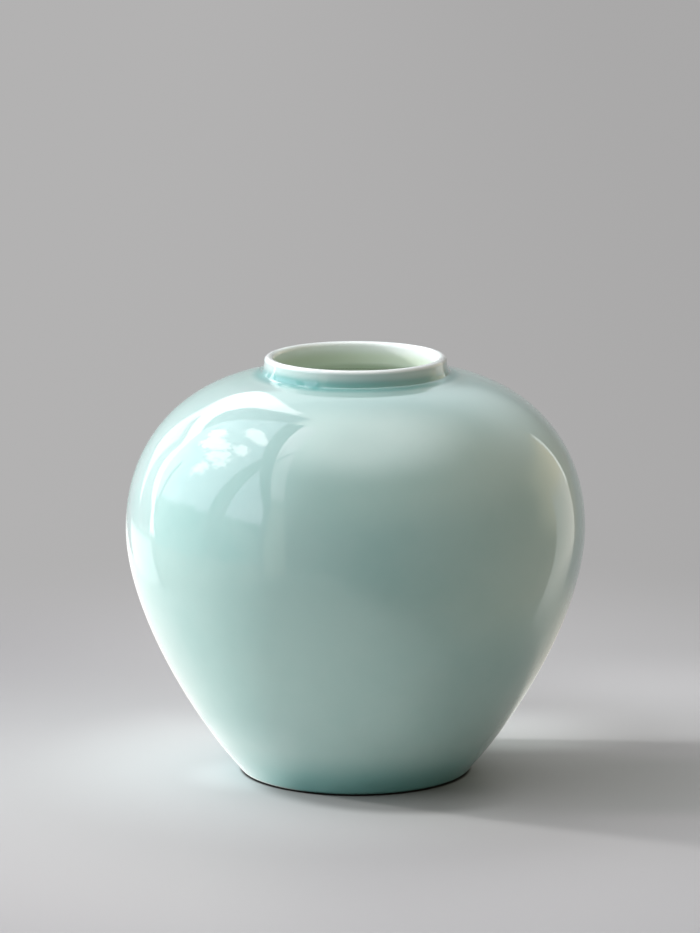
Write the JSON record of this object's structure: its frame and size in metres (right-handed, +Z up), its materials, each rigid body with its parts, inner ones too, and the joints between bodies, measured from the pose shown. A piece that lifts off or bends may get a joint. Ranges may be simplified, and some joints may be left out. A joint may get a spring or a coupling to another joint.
{
  "type": "ceramic vase",
  "caption": "Round-shouldered porcelain vase with a short rolled collar and a bare foot ring, glazed pale celadon inside and out.",
  "frame": {"origin": "centre of the foot ring, on the surface that the vase stands on", "axes": "+Z up along the axis that the vase was turned on; X and Y are alike, because the form is round"},
  "size_m": [0.2182, 0.2182, 0.2],
  "materials": {
    "white_porcelain": "fired white porcelain clay, under the glaze",
    "fired_foot": "unglazed porcelain, flashed dark reddish brown in the firing, matt",
    "celadon_glaze": "pale blue-green transparent celadon, glossy",
    "liner_glaze": "pale green celadon liner, glossy"
  },
  "bodies": {
    "root": {"foot_ring": "fired_foot", "lower_body": "white_porcelain", "upper_body": "white_porcelain", "neck_collar": "white_porcelain", "outer_glaze": "celadon_glaze", "inner_glaze": "liner_glaze", "base_glaze": "celadon_glaze"}
  },
  "joints": []
}
